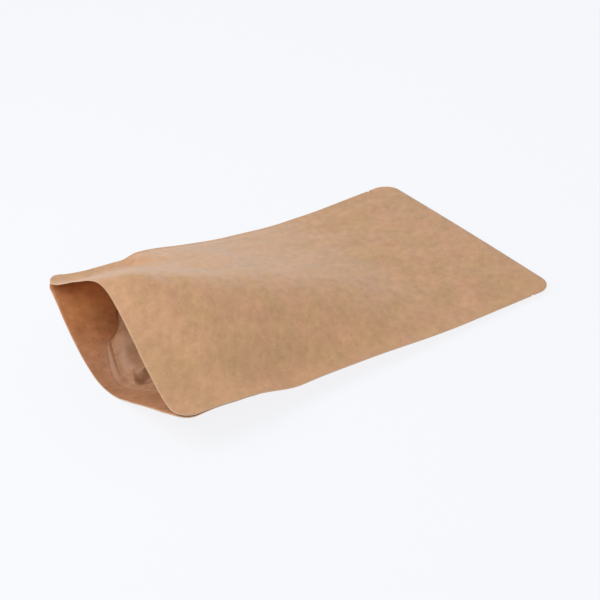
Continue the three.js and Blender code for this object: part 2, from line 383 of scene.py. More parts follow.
# %% Raise the seals
BULGE_RISE = 1.7
BULGE_TILT = 3.0  # how much more the seal's inner line rises than its edge
BULGE_CREASE = 9.0  # the rise comes within this length
TILT_CREASE = 4.5  # and the tilt within this
CREASE_AT = 41.5
CREASE_LEAN = 0.05  # the crease slants away from the bottom edge
CREASE_FAN = 0.45  # and widens away from the side edge
BULGE_FADES = (50, 78)  # along u
TILT_FADES = (70, 185)
BULGE_EDGE = 1.0  # full up to this far from the side edge
EDGE_REACH = 15.0
TILT_FULL = 9.0
TILT_ACROSS = {"front": (9, 58), "back": (SIDE_SEAL, 22)}
SEAL_WAVES = [
    # edge, rise in mm, place and half length along u
    ("far", -0.75, 24, 20),
    ("far", 0.45, 108, 18),
    ("far", 0.5, 150, 11),
    ("near", -0.8, 60, 11),
]
past_crease = sheet_u - CREASE_LEAN * sheet_v - CREASE_AT
lifted = BULGE_RISE * ramp(past_crease, 0, BULGE_CREASE)
lifted = lifted * (1 - ramp(sheet_u, *BULGE_FADES)) * (1 - ramp(sheet_v, BULGE_EDGE, EDGE_REACH))
for edge, rise, place, reach in SEAL_WAVES:
    from_edge = sheet_v if edge == "far" else WIDTH - sheet_v
    wave = rise * np.exp(-(((sheet_u - place) / reach) ** 2))
    lifted = lifted + wave * (1 - ramp(from_edge, 0, EDGE_REACH))
tilt = BULGE_TILT * ramp(past_crease, 0, TILT_CREASE + CREASE_FAN * sheet_v)
tilt = tilt * (1 - ramp(sheet_u, *TILT_FADES))
for side, (full_to, gone_by) in TILT_ACROSS.items():
    across = ramp(sheet_v, 0, TILT_FULL) - ramp(sheet_v, full_to, gone_by)
    sheets[side][:, :, 2] += lifted + tilt * across
print("bulge", round(float(lifted.max()), 2), "mm high")

# %% [markdown]
# ## Relief of the paper
#
# Real pouch paper is never quite smooth. It cockles in soft swellings about a centimetre
# wide, and handling leaves short shallow creases. We add both as heights on the same grid,
# from seeded noise, so that they are real shape and come out the same every time. The side
# seals are pressed flat, so the relief fades out there, and front and back stay together.

# %% Seeded noise on the grid
PAPER_SEED = 11
BACK_SEED = PAPER_SEED + 10


def noise(seed, size_u, size_v):
    """Smooth noise of zero mean and unit spread with features of about these sizes in mm."""
    random = np.random.default_rng(seed).standard_normal((len(grid_u), len(grid_v)))
    waves_u = np.fft.fftfreq(len(grid_u), ROW_STEP)[:, None]
    waves_v = np.fft.fftfreq(len(grid_v), COLUMN_STEP)[None]
    keep = np.exp(-((waves_u * size_u) ** 2 + (waves_v * size_v) ** 2) * 2)
    smooth = np.fft.ifft2(np.fft.fft2(random) * keep).real
    return (smooth - smooth.mean()) / smooth.std()


print("noise spread:", round(float(noise(PAPER_SEED, 17, 13).std()), 2))

# %% Cockles and small creases
COCKLES = [(0.15, 17, 13), (0.06, 7, 6)]  # rise in mm, and size along u and v
CRUMPLE_RISE = 0.05
CRUMPLE_SIZE = (9, 7)
CRUMPLE_WIDTH = 0.12  # the creases follow the noise's zero line, within this much of it
SIDE_LOOSE = (SIDE_SEAL - 1, SIDE_SEAL + 9)
TOP_LOOSE = (2, 12)
loose = ramp(from_side, *SIDE_LOOSE) * ramp(LENGTH - sheet_u, *TOP_LOOSE)


def relief(seed):
    cockles = sum(rise * noise(seed + i, *size) for i, (rise, *size) in enumerate(COCKLES))
    crumpled = noise(seed + len(COCKLES), *CRUMPLE_SIZE)
    crumples = CRUMPLE_RISE * np.exp(-(np.abs(crumpled) / CRUMPLE_WIDTH))
    return (cockles + crumples) * loose


heights = {"front": relief(PAPER_SEED), "back": relief(BACK_SEED)}
print("relief in mm:", {side: round(float(height.std()), 3) for side, height in heights.items()})

# %% [markdown]
# ## Creases from handling
#
# A few creases can be told apart on the real pouch, so they are listed one by one: each is a
# soft ridge or dent along a line between two places on the paper. It fades in and out along
# the line, because a crease made by a finger has no sharp ends.

# %% Ridges along lines
RIDGE_ENDS = (-0.02, 0.3)  # a ridge comes up over this share of its length at both ends


def ridge(u, v, start, end, width):
    """1 along the line from start to end, fading to 0 over the width on both sides."""
    start = np.array(start)
    line = np.array(end) - start
    along = np.clip(((u - start[0]) * line[0] + (v - start[1]) * line[1]) / (line @ line), 0, 1)
    off = np.hypot(u - start[0] - along * line[0], v - start[1] - along * line[1])
    return np.exp(-((off / width) ** 2)) * ramp(np.minimum(along, 1 - along), *RIDGE_ENDS)


HANDLING_CREASES = [
    # start and end as (u, v), width and rise in mm
    ((17, 86), (25, 98), 1.1, 0.16),
    ((25, 61), (30, 69), 1.0, 0.13),
    ((182, 90), (187, 112), 1.6, 0.10),
    ((186, 115), (183, 127), 1.3, 0.08),
    ((152, 76), (155, 84), 1.4, -0.10),
    ((140, 62), (146, 71), 1.6, -0.09),
    ((166, 100), (170, 113), 1.8, -0.12),
    ((170, 114), (175, 124), 1.6, -0.10),
]
for start, end, width, rise in HANDLING_CREASES:
    heights["front"] += rise * ridge(sheet_u, sheet_v, start, end, width)
print(len(HANDLING_CREASES), "creases placed by hand")

# %% [markdown]
# ## The zipper's band
#
# The press-to-close strip is inside the shut pouch and can't be seen. All that tells of it is
# a pair of faint, broken ridges across the front panel. We draw two long lines that wander a
# little, and let a noise break them up. Then all the heights move the sheets outwards.

# %% Relief of the zipper's band
ZIPPER_LINES = (157.0, 168.0)  # from the bottom edge, in mm
ZIPPER_RISE = 0.07
ZIPPER_WIDTH = 1.6
BROKEN_SIZE = (6, 22)
BROKEN_RANGE = (-0.3, 1.2)
WANDER = 1.2
WANDER_SIZE = (400, 35)
broken = ramp(noise(PAPER_SEED + 5, *BROKEN_SIZE), *BROKEN_RANGE)
wander = WANDER * noise(PAPER_SEED + 6, *WANDER_SIZE)
for line in ZIPPER_LINES:
    raised = np.exp(-(((sheet_u + wander - line) / ZIPPER_WIDTH) ** 2))
    heights["front"] += ZIPPER_RISE * raised * broken * loose
for side, height in heights.items():
    sheets[side] = sheets[side] + outward(sheets[side], side) * height[:, :, None]
normals = {side: outward(sheet, side) for side, sheet in sheets.items()}
print("two faint lines across at", ZIPPER_LINES, "mm from the bottom edge")

# %% [markdown]
# ## A ply of paper as a closed mesh
#
# Every piece is a sheet with two faces and a rim. We build both faces from one grid of
# points, a paper's thickness apart, and close them with a strip round the edge, so the mesh
# is a proper thin solid. Each point also remembers its place on the flat paper, in the
# attribute "paper", because the grain of the finish has to follow the sheet, and not the
# space around it. "cut_edge" is 1 on the rim: raw paper with a painted highlight along the lips.

# %% Make a ply
def make_ply(name, upper, lower, paper_u, paper_v):
    rows, columns = upper.shape[:2]
    count = rows * columns
    index = np.arange(count).reshape(rows, columns)
    corners = [index[:-1, :-1], index[:-1, 1:], index[1:, 1:], index[1:, :-1]]
    top = np.stack(corners, axis=-1).reshape(-1, 4)
    bottom = (top + count)[:, ::-1]
    ring = np.concatenate([index[0, :-1], index[:-1, -1], index[-1, :0:-1], index[:0:-1, 0]])
    after = np.roll(ring, -1)
    rim = np.stack([ring, ring + count, after + count, after], axis=1)
    points = np.concatenate([upper.reshape(-1, 3), lower.reshape(-1, 3)]) * MM
    mesh = bpy.data.meshes.new(name)
    mesh.from_pydata(points.tolist(), [], np.concatenate([top, bottom, rim]).tolist())
    flat = np.stack([paper_u.ravel(), paper_v.ravel(), np.zeros(count)], axis=1) * MM
    paper = mesh.attributes.new("paper", "FLOAT_VECTOR", "POINT")
    paper.data.foreach_set("vector", np.tile(flat, (2, 1)).ravel())
    on_rim = np.arange(len(mesh.polygons)) >= len(mesh.polygons) - len(rim)
    cut_edge = mesh.attributes.new("cut_edge", "FLOAT", "FACE")
    cut_edge.data.foreach_set("value", on_rim.astype(np.float32))
    mesh.polygons.foreach_set("use_smooth", ~on_rim)
    mesh.update()
    piece = bpy.data.objects.new(name, mesh)
    bpy.context.scene.collection.objects.link(piece)
    print(name, len(mesh.polygons), "faces")
    return piece


# %% [markdown]
# ## Rows and columns of a panel
#
# The columns crowd together in the rounded corners, where the outline turns. The rows run
# straight across, and only near the two ends are they squeezed to follow the corners. They
# crowd together at the tear notches, the narrow slits where a finger starts to tear the
# pouch open. We don't cut the slits out: the grid's edge is drawn in there, so the mesh stays
# one clean sheet of quads.

# %% Grid of a panel
CORNER_STEPS = 14
NOTCH_FROM_TOP = 13.5
NOTCH_DEPTH = 1.8
NOTCH_HALF_WIDTH = 0.5
NOTCH_REACH = 6.0  # the paper's grid is drawn in this far round a notch
NOTCH_ROWS = 1.1 * np.linspace(-1, 1, 21)  # in mm from the notch's middle
NOTCH_CLEARANCE = 1.32  # the even rows stay this far from the notch's middle
END_ROWS = 12.0  # rows nearer to an end than this follow the corners


def corner_cut(v):
    """How far the rounded corner's outline lies from the straight end, at v."""
    inside = np.maximum(CORNER_RADIUS - np.minimum(v, WIDTH - v), 0)
    return CORNER_RADIUS - np.sqrt(CORNER_RADIUS**2 - inside**2)


def columns_across(step):
    turn = np.linspace(0, math.pi / 2, CORNER_STEPS, endpoint=False)
    corner = CORNER_RADIUS * (1 - np.cos(turn))
    count = int((WIDTH - 2 * CORNER_RADIUS) / step) + 1
    middle = np.linspace(CORNER_RADIUS, WIDTH - CORNER_RADIUS, count)
    return np.concatenate([corner, middle, (WIDTH - corner)[::-1]])


def panel_grid(step):
    columns = columns_across(step)
    rows = np.linspace(0, LENGTH, int(LENGTH / step) + 1)
    notch = LENGTH - NOTCH_FROM_TOP
    rows = np.append(rows[np.abs(rows - notch) > NOTCH_CLEARANCE], notch + NOTCH_ROWS)
    rows.sort()
    marks = [0, END_ROWS, LENGTH - END_ROWS, LENGTH]
    ends = [(cut, END_ROWS, LENGTH - END_ROWS, LENGTH - cut) for cut in corner_cut(columns)]
    u = np.stack([np.interp(rows, marks, places) for places in ends], axis=1)
    v = np.tile(columns, (len(rows), 1))
    inwards = np.where(v < WIDTH / 2, 1.0, -1.0)
    from_edge = np.minimum(v, WIDTH - v)
    slit = NOTCH_DEPTH * np.maximum(1 - np.abs(u - notch) / NOTCH_HALF_WIDTH, 0)
    v = v + inwards * slit * np.maximum(1 - from_edge / NOTCH_REACH, 0)
    return u, v


print("columns across a panel:", len(columns_across(1.0)))

# %% [markdown]
# ## The two panels
#
# The front ply lies on the outside of its sheet surface and the back ply on the outside of
# its own, so their inner faces meet in the side seals, as two bonded plies do. The camera
# sees little of the back panel, so that gets a coarser grid. No point may sink into the
# floor: the paper is pressed flat on it instead.

# %% Make the panels
FRONT_STEP = 0.85
BACK_STEP = 1.2
INNER_FACE_FROM = 0.02  # height above the floor


def panel(side, step):
    u, v = panel_grid(step)
    inner = read_grid(sheets[side], u, v)
    outer = inner + PAPER * read_grid(normals[side], u, v)
    inner[:, :, 2] = np.maximum(inner[:, :, 2], INNER_FACE_FROM)
    outer[:, :, 2] = np.maximum(outer[:, :, 2], 0)
    upper, lower = (outer, inner) if side == "front" else (inner, outer)
    return make_ply(side + "_panel", upper, lower, u, v)


front_panel = panel("front", FRONT_STEP)
back_panel = panel("back", BACK_STEP)

# %% [markdown]
# ## The gusset's seals
#
# The strip between the panels is bonded to each of them along a curved seal that is shallow
# in the middle and deep at the sides. That curve lets the pouch stand on a round foot. We
# write the seal's depth as a power of the distance from the middle. On this pouch the back
# seal reaches a little deeper on its far side, so a smooth curve adds that.

# %% Depth of a seal
GUSSET_SEAL = 7.0  # in the middle
GUSSET_CURVE = 1.7
FOLD_ALLOWANCE = 1.5  # the fold itself stays free even in the side seals
DEEPER_AT = [SIDE_SEAL, 25, 31, 35, 38, 42, 48]  # v
DEEPER_BY = [0, 2.5, 3.6, 4.0, 2.2, -0.4, 0]  # the back seal against the front one
deeper = smooth_through(DEEPER_AT, DEEPER_BY)


def seal_depth(v, side="front"):
    towards_side = np.minimum(np.abs(v - WIDTH / 2) / (WIDTH / 2 - SIDE_SEAL), 1)
    depth = GUSSET_SEAL + (GUSSET_DEPTH - GUSSET_SEAL) * towards_side**GUSSET_CURVE
    if side == "back":
        depth = depth + deeper(np.clip(v, DEEPER_AT[0], DEEPER_AT[-1]))
    return np.minimum(depth, GUSSET_DEPTH - FOLD_ALLOWANCE)


depths = [round(float(seal_depth(v)), 1) for v in (WIDTH / 2, 0.0)]
print("seal depth at the middle and the side:", depths)

# %% [markdown]
# ## The web
#
# Between the two seals the strip hangs free as a web, folded inwards. The pulled-open pouch
# stretches that web into a wide V, and how deep the V reaches follows from the paper's
# length: a half of the free strip spans half the gap. So we don't guess the V. We measure the
# gap between the seals at each column, and Pythagoras gives the depth. The bonded parts lie
# on the panels' sheets, and the web goes from the one sheet over to the other.

# %% Points of the strip
SEALED_ROWS = 26
WEB_ROWS = 120
ROWS_DRAWN_IN = 0.1  # the web's rows lie closer together near its two seals, where it puckers
SHALLOWEST_FOLD = 0.3  # as a share of the free paper


def gusset_grid(columns):
    """The strip's points, from its edge on the front panel to its edge on the back one.

    Beside them: u on the strip, u on the panels, and v.
    """
    cut = corner_cut(columns)
    seals = {side: seal_depth(columns, side) for side in sheets}
    even = np.linspace(0, 1, SEALED_ROWS, endpoint=False)[:, None]
    sealed_front = even * (seals["front"] - cut) + cut
    sealed_back = (even * (seals["back"] - cut) + cut)[::-1]
    sealed_v = np.tile(columns, (SEALED_ROWS, 1))
    front_seal = read_grid(sheets["front"], seals["front"], columns)
    back_seal = read_grid(sheets["back"], seals["back"], columns)
    half_gap = np.linalg.norm(front_seal - back_seal, axis=1) / 2
    free = GUSSET_DEPTH - (seals["front"] + seals["back"]) / 2
    fold = np.sqrt(np.maximum(free**2 - half_gap**2, (SHALLOWEST_FOLD * free) ** 2))
    even = np.linspace(0, 1, WEB_ROWS + 1)[:, None]
    t = even - ROWS_DRAWN_IN * np.sin(2 * math.pi * even)
    web_u = seals["front"] * (1 - t) + seals["back"] * t + np.sin(math.pi * t) * fold
    web_v = np.tile(columns, (WEB_ROWS + 1, 1))
    web_front = read_grid(sheets["front"], web_u, web_v)
    web_back = read_grid(sheets["back"], web_u, web_v)
    surface = np.vstack([
        read_grid(sheets["front"], sealed_front, sealed_v),
        web_front + (web_back - web_front) * t[:, :, None],
        read_grid(sheets["back"], sealed_back, sealed_v),
    ])
    web_strip_u = seals["front"] + t * 2 * free
    strip_u = np.vstack([sealed_front, web_strip_u, 2 * GUSSET_DEPTH - sealed_back])
    panel_u = np.vstack([sealed_front, web_u, sealed_back])
    return surface, strip_u, panel_u, np.tile(columns, (len(strip_u), 1))


print("rows of the strip:", 2 * SEALED_ROWS + WEB_ROWS + 1)

# %% [markdown]
# ## Pleats in the web
#
# Pulling the mouth open has left the web puckered where it leaves the back seal. We draw the
# pleats as ridges and valleys along lines on the strip, as we did on the panel. Here a place
# is its distance from the back seal, measured over the web, and v. A raised bead runs along
# both seals, where the glue line ends, and beside the back seal's bead runs a valley.

# %% Relief of the gusset
BEAD_RISE = 0.4
BEAD_WIDTH = 2.0
BEAD_ENDS = (38, 44)  # it comes up over this distance from the side edge
VALLEY = [  # distance from the back seal, and v
    (0.4, 26), (0.5, 34), (0.8, 38), (1.5, 41), (2.1, 45), (2.8, 51), (3.0, 56), (2.8, 65),
]
VALLEY_WIDTH = 0.75
VALLEY_DEPTH = 0.9
VALLEY_BEGINS = (26, 34)  # v
VALLEY_ENDS = (57, 65)
PLEATS = [
    # start and end as (distance from the back seal, v), width and rise in mm
    ((3.8, 22), (4.6, 39), 2.0, 2.0),
    ((7.2, 38), (6.6, 63), 2.8, 0.9),
    ((14.5, 50), (11.5, 68), 3.6, -2.4),
    ((6.6, 36), (9.5, 38.5), 0.9, -3.4),
    ((2.8, 62.5), (4.2, 67), 1.3, -1.0),
    ((6.4, 63.5), (2.6, 72), 0.8, 1.2),
    ((9.6, 67.5), (7.2, 80), 3.2, -5.5),
    ((5.4, 69.5), (4.8, 76), 1.5, -2.6),
    ((9.0, 83), (2.5, 88), 1.6, 0.7),
]


def gusset_relief(from_back_seal, from_seal, v):
    from_side_edge = np.minimum(v, WIDTH - v)
    bead = BEAD_RISE * np.exp(-((from_seal / BEAD_WIDTH) ** 2)) * ramp(from_side_edge, *BEAD_ENDS)
    valley_at, valley_v = zip(*VALLEY)
    off = from_back_seal - np.interp(v, valley_v, valley_at)
    valley = np.exp(-((off / VALLEY_WIDTH) ** 2))
    valley = valley * ramp(v, *VALLEY_BEGINS) * (1 - ramp(v, *VALLEY_ENDS))
    pleats = sum(rise * ridge(from_back_seal, v, *line) for *line, rise in PLEATS)
    return bead - VALLEY_DEPTH * valley + pleats


print(len(PLEATS), "pleats")

# %% [markdown]
# ## The gusset strip
#
# Now the strip gets its relief and its thickness. A deep dent could press the web through the
# panel behind it, so every point that would pass a panel is put back on the panel's inner
# face. Where the two halves of the web nearly touch, the ply is thinned so that they don't
# cross. The strip also remembers where it is glued to a panel, for its colour, which is painted
# shade and light there, and this fades out a little way over the web as painted shade on the
# bead beside the seal.

# %% Make the gusset
GUSSET_STEP = 0.6
THICKEST = 0.4  # as a share of the gap between the web's two halves
RELIEF_ROOM = (2, 12)  # the relief comes up as that gap opens
# the glued colour, painted shade and light, ends mostly at the seal; the rest is painted shade
# fading out over the web's bead, which faces the light
GLUE_EDGE = (-1.2, 0.6)  # most of the glue's colour ends here, in mm from the seal
GLUE_EDGE_SHARE = 0.6
PAINTED_SHADE_OVER_WEB = (1, 6)  # and the rest fades out over the web
SHORTEST_NORMAL = 1e-9


def gusset():
    surface, strip_u, panel_u, v = gusset_grid(columns_across(GUSSET_STEP))
    along = np.gradient(surface, axis=0)
    across = np.gradient(surface, axis=1)
    away = np.cross(across, along)
    away /= np.maximum(np.linalg.norm(away, axis=2, keepdims=True), SHORTEST_NORMAL)
    gap = np.linalg.norm(surface - surface[::-1], axis=2, keepdims=True)
    thickness = np.minimum(PAPER, THICKEST * gap)
    from_back_seal = 2 * GUSSET_DEPTH - seal_depth(v, "back") - strip_u
    from_front_seal = strip_u - seal_depth(v)
    from_seal = np.minimum(np.abs(from_front_seal), np.abs(from_back_seal))
    dents = gusset_relief(from_back_seal, from_seal, v) * ramp(gap[:, :, 0], *RELIEF_ROOM)
    surface = surface - away * dents[:, :, None]
    for side in sheets:
        outwards = read_grid(normals[side], panel_u, v)
        from_panel = surface - read_grid(sheets[side], panel_u, v)
        beyond = (from_panel * outwards).sum(axis=2, keepdims=True)
        surface = surface - outwards * np.maximum(beyond, 0)
    strip = make_ply("gusset_strip", surface, surface - away * thickness, strip_u, v)
    # share of the glued colour: glued paper with painted shade and light, and painted shade over
    # the bead
    on_web = np.minimum(from_front_seal, from_back_seal)
    glue_and_painted_light_share = 1 - GLUE_EDGE_SHARE * ramp(on_web, *GLUE_EDGE)
    glue_and_painted_light_share = glue_and_painted_light_share - (1 - GLUE_EDGE_SHARE) * ramp(on_web, *PAINTED_SHADE_OVER_WEB)
    glue = strip.data.attributes.new("glue_and_painted_light_share", "FLOAT", "POINT")
    glue.data.foreach_set("value", np.tile(glue_and_painted_light_share.ravel(), 2))
    return strip


gusset_strip = gusset()

# %% [markdown]
# ## Small helpers for materials
#
# A procedural material is a chain of nodes. A few helpers keep the chains short: one makes a
# node and fills or links its sockets, and the others do a sum, scale a colour, map a range
# and blend two colours with it.

# %% Node helpers
def add_node(tree, kind, sockets=None, **settings):
    made = tree.nodes.new("ShaderNode" + kind)
    for name, value in settings.items():
        setattr(made, name, value)
    for socket, value in (sockets or {}).items():
        if isinstance(value, bpy.types.NodeSocket):
            tree.links.new(value, made.inputs[socket])
        else:
            made.inputs[socket].default_value = value
    return made


def calculate(tree, operation, *values):
    return add_node(tree, "Math", dict(enumerate(values)), operation=operation).outputs[0]


def scaled(tree, vector, factor):
    sockets = {0: vector, "Scale": factor}
    return add_node(tree, "VectorMath", sockets, operation="SCALE").outputs["Vector"]


def mapped(tree, value, low, high, to_low=0.0, to_high=1.0):
    sockets = {"Value": value, "From Min": low, "From Max": high}
    sockets.update({"To Min": to_low, "To Max": to_high})
    return add_node(tree, "MapRange", sockets).outputs["Result"]


def blend_colours(tree, share, first, second):
    made = add_node(tree, "Mix", {0: share}, data_type="RGBA")
    for socket, colour in ((made.inputs[6], first), (made.inputs[7], second)):
        if isinstance(colour, bpy.types.NodeSocket):
            tree.links.new(colour, socket)
        else:
            socket.default_value = (*colour, 1)
    return made.outputs[2]


def attribute(tree, name, output="Fac"):
    return add_node(tree, "Attribute", attribute_name=name).outputs[output]


print("helpers ready")

# %% [markdown]
# ## Patterns of brown paper
#
# Strong brown wrapping paper gets its look from long wood fibres that clump while the sheet
# is made. Seen closely it has cloudy patches about a centimetre wide, a finer mottle of a few
# millimetres, thin streaks where fibres lie side by side, and here and there a pale chip or a
# dark speck. An image could hold all that, but noises need no image and have no seams. Each
# noise is measured in millimetres on the flat sheet and can be stretched along a line.

# %% Clouds and chips
CLOUDS = {
    # size in mm, stretch, its turn in degrees from u, detail, and offset in patches
    "patches": (11, 1.25, -60, 3, 0),
    "mottle": (3.6, 1.25, -50, 4, 31),
    "streaks": (0.8, 3, -25, 2, 57),
    "cross streaks": (0.8, 3, -85, 2, 71),
    "grain": (0.9, 1, 0, 4, 83),
    "tone": (15, 1.25, -60, 1.2, 17),
}
CHIPS = {
    # spacing, radius and offset in mm
    "pale chips": (6.5, 0.55, 0),
    "dark chips": (7.5, 0.6, 41),
}
CHIP_CORE = 0.4  # a chip is full up to this share of its radius


def cloud(tree, place, size, stretch, turn, detail, offset):
    """Noise about zero."""
    moved = offset * size
    sockets = {"Vector": place, "Location": (moved, moved, 0)}
    sockets["Rotation"] = (0, 0, math.radians(turn))
    sockets["Scale"] = (size * stretch, size, 1)
    turned = add_node(tree, "Mapping", sockets, vector_type="TEXTURE").outputs["Vector"]
    sockets = {"Vector": turned, "Scale": 1.0, "Detail": detail}
    return calculate(tree, "SUBTRACT", add_node(tree, "TexNoise", sockets).outputs["Fac"], 0.5)


def chips(tree, place, spacing, radius, offset):
    """1 on small round chips about this far apart, 0 between them."""
    sockets = {0: place, 1: (offset, offset, 0)}
    moved = add_node(tree, "VectorMath", sockets, operation="ADD").outputs["Vector"]
    sockets = {"Vector": moved, "Scale": 1 / spacing, "Randomness": 1.0}
    cells = add_node(tree, "TexVoronoi", sockets, voronoi_dimensions="2D").outputs["Distance"]
    return mapped(tree, cells, CHIP_CORE * radius / spacing, radius / spacing, 1, 0)


def paper_patterns(tree, place):
    patterns = {name: cloud(tree, place, *numbers) for name, numbers in CLOUDS.items()}
    patterns.update({name: chips(tree, place, *numbers) for name, numbers in CHIPS.items()})
    patterns["fibres"] = calculate(tree, "ADD", patterns["streaks"], patterns["cross streaks"])
    return patterns


def sum_of(tree, patterns, strengths):
    total = 0.0
    for name, strength in strengths.items():
        total = calculate(tree, "MULTIPLY_ADD", patterns[name], strength, total)
    return total


print(len(CLOUDS), "clouds and", len(CHIPS), "kinds of chips")

# %% [markdown]
# ## Glued paper, with painted shade and light
#
# The strip is glued to the panels along its seals, and we look at that glued paper inside
# the open end. Its blotches are the paper's own, but the rest of its colour is painted shade
# and light: darker and redder than free paper for the shade and the bounced light inside the
# pouch, redder and brighter deep on the far side as a painted warm glow, and lighter or darker
# between the cut edge and the web as the light reaching in changes. Two short rows of colours
# across the strip hold this, one for the paper beside the web and one for the cut edges, and
# each colour blends into the next. They were found by trying: change one, render, compare.

# %% Colours of the glued paper, painted with shade and light
CUT_TONE_FROM = 25.0  # from the fold, in mm
GLUED_AT = (4, 12, 20, 28, 37, 48, 64, 84)  # v of each colour, in mm
# painted shade and light: darker and redder than the paper for the shade inside, brighter deep on
# the far side as a painted glow
BESIDE_WEB = (
    (0.66, 0.29, 0.11), (0.68, 0.3, 0.114), (0.66, 0.285, 0.106), (0.43, 0.175, 0.068),
    (0.385, 0.156, 0.066), (0.375, 0.171, 0.083), (0.345, 0.163, 0.083), (0.42, 0.205, 0.108),
)
# painted light along the cut edge, lighter or darker as the light reaching in at the open end
# changes
ALONG_CUT = (
    (0.46, 0.193, 0.078), (0.48, 0.2, 0.08), (0.52, 0.215, 0.084), (0.50, 0.205, 0.082),
    (0.52, 0.23, 0.105), (0.50, 0.235, 0.118), (0.42, 0.203, 0.106), (0.50, 0.247, 0.131),
)
BLOTS = (5, 1.5, 0, 4, 97)  # as in CLOUDS
BLOT_STRENGTH = 0.55


def colour_across(tree, place_across, colours):
    blend = add_node(tree, "ValToRGB", {"Fac": calculate(tree, "DIVIDE", place_across, WIDTH)})
    marks = blend.color_ramp.elements
    while len(marks) < len(GLUED_AT):
        marks.new(0.5)
    for mark, v, colour in zip(marks, GLUED_AT, colours):
        mark.position = v / WIDTH
        mark.color = (*colour, 1)
    return blend.outputs["Color"]


# colour of the glued paper: painted shade and light, blotched with the paper's own blots
def glue_and_painted_light_colour(tree, place):
    axes = add_node(tree, "SeparateXYZ", {0: place}).outputs
    from_fold = calculate(tree, "ABSOLUTE", calculate(tree, "SUBTRACT", axes["X"], GUSSET_DEPTH))
    near_cut = mapped(tree, from_fold, CUT_TONE_FROM, GUSSET_DEPTH)
    beside_web = colour_across(tree, axes["Y"], BESIDE_WEB)
    along_cut = colour_across(tree, axes["Y"], ALONG_CUT)
    glue_and_painted_light = blend_colours(tree, near_cut, beside_web, along_cut)
    blots = calculate(tree, "MULTIPLY_ADD", cloud(tree, place, *BLOTS), BLOT_STRENGTH, 1.0)
    return scaled(tree, glue_and_painted_light, blots)


print(len(GLUED_AT), "colours across the strip")

# %% [markdown]
# ## The paper's finish
#
# Two tones of one brown, a pinker and a yellower one, take turns over the sheet. The broad
# patterns then make the paper lighter and darker by a few percent, and the fine ones add
# flecks that are greyer than the paper, because fine fibres scatter light of all colours. The
# same patterns raise the surface by a few hundredths of a millimetre and vary its gloss, and
# where the sheet was cut its raw core is painted paler, as a highlight along the cut lips.
# All of that goes into one shader, so that both papers of the pouch come from the same recipe.

# %% Make the finish
TONE_CONTRAST = 3.8
SHADE = {"patches": 0.34, "mottle": 0.17}
FLECKS = {"mottle": 0.23, "fibres": 0.11, "grain": 0.15, "pale chips": 0.1, "dark chips": -0.12}
GLOSS = {"patches": 0.25, "fibres": 0.2}
HEIGHT = {"mottle": 1.0, "fibres": 0.3, "grain": 0.35}
FLECK_TINT = (0.53, 0.36, 0.24)
# raw paper of the rim, painted paler as a highlight along the cut lips
RAW_EDGE_HIGHLIGHT = (0.60, 0.40, 0.26)
BUMP_HEIGHT = 0.05  # in mm
SPECULAR = 0.4
SHEEN_ROUGHNESS = 0.45


def paper_finish(name, tones, roughness, sheen, glue_and_painted_light=False):
    material = bpy.data.materials.new(name)
    material.use_nodes = True
    tree = material.node_tree
    shader = tree.nodes["Principled BSDF"]
    place = scaled(tree, attribute(tree, "paper", "Vector"), 1 / MM)
    patterns = paper_patterns(tree, place)
    tone = calculate(tree, "MULTIPLY_ADD", patterns["tone"], TONE_CONTRAST, 0.5)
    colour = blend_colours(tree, tone, *tones)
    # the gusset's glued paper gets its painted shade and light here
    if glue_and_painted_light:
        colour = blend_colours(tree, attribute(tree, "glue_and_painted_light_share"), colour, glue_and_painted_light_colour(tree, place))
    shade = calculate(tree, "ADD", sum_of(tree, patterns, SHADE), 1.0)
    broad = scaled(tree, colour, shade)
    fine = scaled(tree, FLECK_TINT, sum_of(tree, patterns, FLECKS))
    shaded = add_node(tree, "VectorMath", {0: broad, 1: fine}, operation="ADD").outputs["Vector"]
    # painted highlight on the rim, along the cut lips
    colour = blend_colours(tree, attribute(tree, "cut_edge"), shaded, RAW_EDGE_HIGHLIGHT)
    tree.links.new(colour, shader.inputs["Base Color"])
    uneven = calculate(tree, "ADD", sum_of(tree, patterns, GLOSS), roughness)
    tree.links.new(uneven, shader.inputs["Roughness"])
    sockets = {"Height": sum_of(tree, patterns, HEIGHT), "Strength": 1.0}
    sockets["Distance"] = BUMP_HEIGHT * MM
    tree.links.new(add_node(tree, "Bump", sockets).outputs["Normal"], shader.inputs["Normal"])
    shader.inputs["Specular IOR Level"].default_value = SPECULAR
    shader.inputs["Sheen Weight"].default_value = sheen
    shader.inputs["Sheen Roughness"].default_value = SHEEN_ROUGHNESS
    print(name, len(tree.nodes), "nodes")
    return material


# %% The two papers
PANEL_TONES = ((0.556, 0.306, 0.167), (0.522, 0.303, 0.151))
# painted shade: the web is the same brown paper as the panels, darkened to stand in for the shade
# inside the pouch
SHADED_WEB_TONES = ((0.40, 0.21, 0.117), (0.387, 0.206, 0.11))
brown_paper = paper_finish("brown_paper", PANEL_TONES, roughness=0.48, sheen=0.05)
gusset_paper = paper_finish("gusset_paper", SHADED_WEB_TONES, roughness=0.5, sheen=0.0, glue_and_painted_light=True)
for piece in (front_panel, back_panel):
    piece.data.materials.append(brown_paper)
gusset_strip.data.materials.append(gusset_paper)

# %% [markdown]
# ## Each piece stands in for its solid
#
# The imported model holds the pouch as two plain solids. Our three pieces take their places:
# both panels for the body, and the strip for the gusset. No part of the pouch moves by
# itself, so all of them ride on the root. The slot names the finish, so that it can be
# swapped for another paper.

# %% Stand each piece in for its solid
for piece in (front_panel, back_panel):
    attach(piece, "root")
    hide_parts("pouch_body")
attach(gusset_strip, "root")
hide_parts("bottom_gusset")
print("3 pieces for 2 solids")

# %% [markdown]
# ## The floor
#
# The pouch lies on a pale sheet that glows by itself, as a light table does. That keeps its
# shadow faint. A plain emitting square would show no shadow at all, so the floor is a dark
# surface with a glow: the glow gives the white, and the little that it reflects, the shadow.

